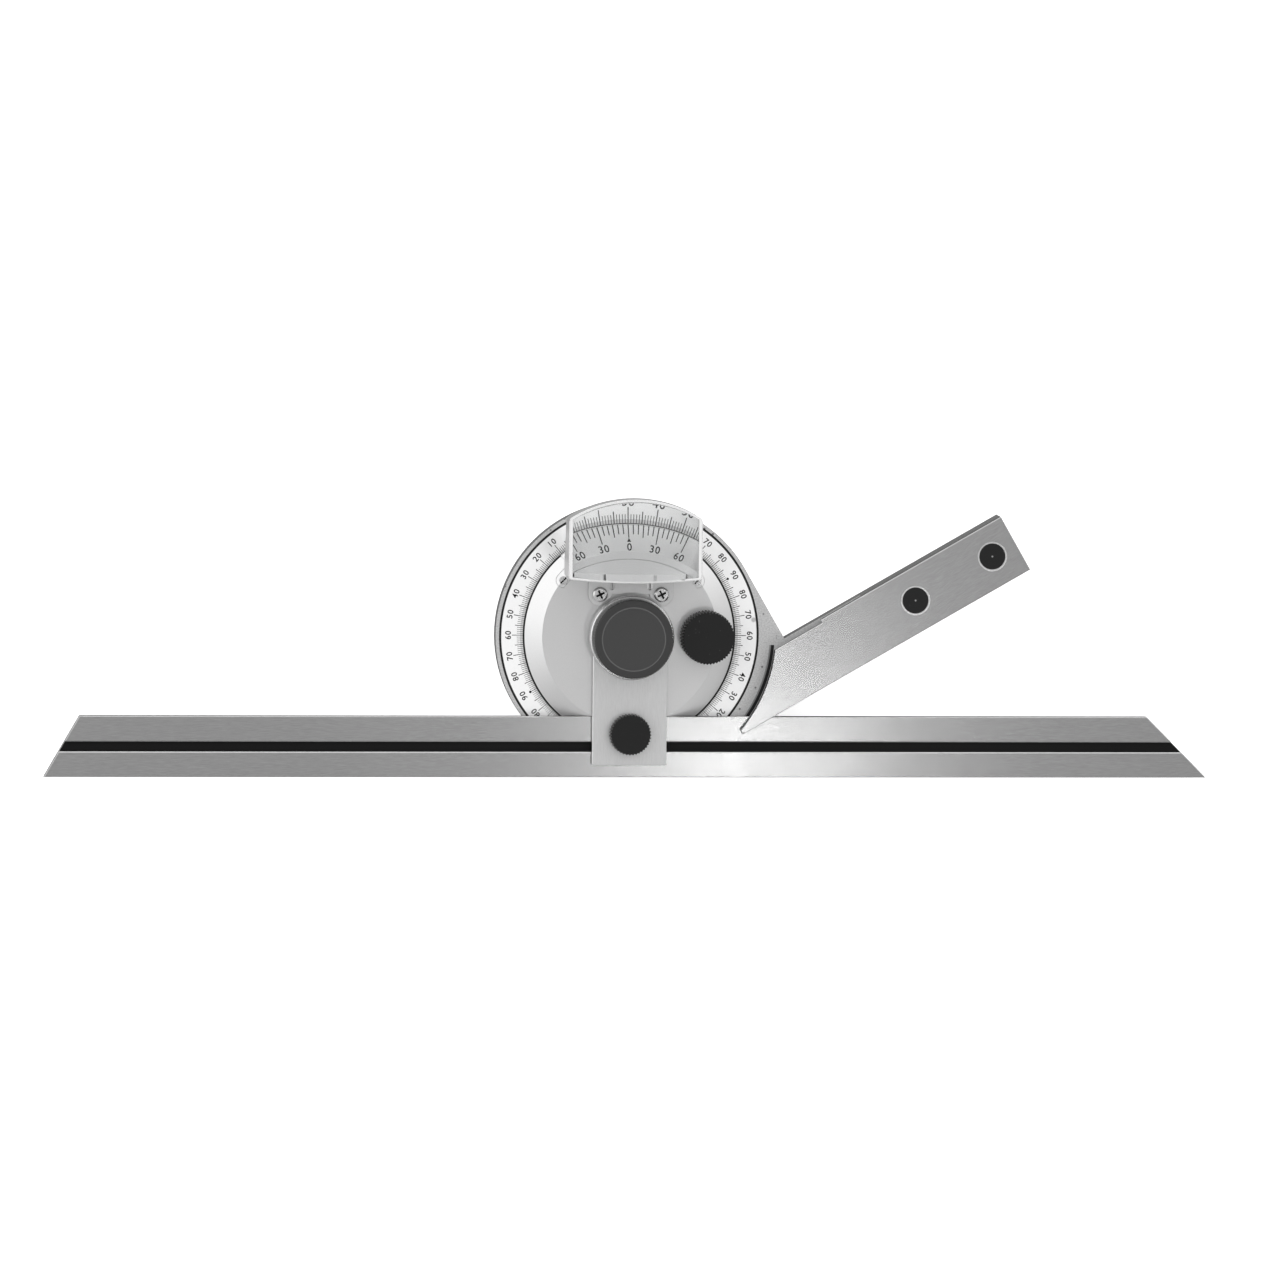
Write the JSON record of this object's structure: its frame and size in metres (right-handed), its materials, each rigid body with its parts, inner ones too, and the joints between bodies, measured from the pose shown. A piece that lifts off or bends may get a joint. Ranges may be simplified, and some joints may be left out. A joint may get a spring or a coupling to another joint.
{
  "type": "bevel protractor",
  "caption": "Universal bevel protractor with a grooved sliding blade, a swivelling vernier turret with a magnifier, and a stock.",
  "frame": {"origin": "the pivot axis where it meets the flat back of the frame", "axes": "+Z along the pivot axis towards the reader, +X along the blade towards its 45 degree end, +Y towards the magnifier"},
  "size_m": [0.3, 0.0724, 0.0236],
  "materials": {
    "ground_steel": "satin ground",
    "frame_steel": "fine blasted",
    "satin_chrome": "satin",
    "bright_chrome": "polished",
    "black_finish": "matt black",
    "lens_glass": "polished",
    "bearing_brass": "turned",
    "plain_steel": "turned"
  },
  "bodies": {
    "frame": {"frame_plate": "frame_steel", "stock_plate": "ground_steel", "stock_rivets": "black_finish", "dial_ring": "satin_chrome", "ring_gear": "plain_steel", "pivot_stud": "plain_steel"},
    "turret": {"turret": "satin_chrome", "turret_bush": "bearing_brass", "vernier_plate": "satin_chrome", "vernier_screws": "bright_chrome", "clamp_plate": "ground_steel", "clamp_screws": "plain_steel", "clamp_hook": "plain_steel", "clamp_washer": "plain_steel", "lock_washer": "plain_steel", "fine_adjust_bush": "bearing_brass", "magnifier_bracket": "ground_steel", "bracket_screws": "bright_chrome", "magnifier_frame": "bright_chrome", "magnifier_lens": "lens_glass"},
    "blade": {"blade": "ground_steel"},
    "fine_adjust": {"fine_adjust_knob": "black_finish", "fine_adjust_shaft": "plain_steel", "fine_adjust_pinion": "plain_steel", "knob_set_screw": "plain_steel"},
    "clamp_knob": {"clamp_knob": "black_finish"},
    "lock_knob": {"lock_nut": "bright_chrome", "lock_cap": "black_finish"}
  },
  "joints": [
    {"name": "turret_swivel", "type": "hinge", "parent": "frame", "child": "turret", "pos_m": [0, 0, 0], "axis": [0, 0, 1], "range_deg": [-170, 15]},
    {"name": "blade_slide", "type": "slide", "parent": "turret", "child": "blade", "axis": [1, 0, 0], "range_m": [-0.12, 0.12]},
    {"name": "fine_adjust_turn", "type": "hinge", "parent": "turret", "child": "fine_adjust", "pos_m": [0.0196, 0, 0], "axis": [0, 0, 1], "range_deg": [-75, 850]},
    {"name": "clamp_knob_turn", "type": "hinge", "parent": "turret", "child": "clamp_knob", "pos_m": [0, -0.025, 0], "axis": [0, 0, 1], "range_deg": [0, 120]},
    {"name": "lock_knob_turn", "type": "hinge", "parent": "frame", "child": "lock_knob", "pos_m": [0, 0, 0], "axis": [0, 0, 1], "range_deg": [0, 90]}
  ],
  "couplings": [
    {"joint": "fine_adjust_turn", "follows": "turret_swivel", "ratio": -5}
  ]
}
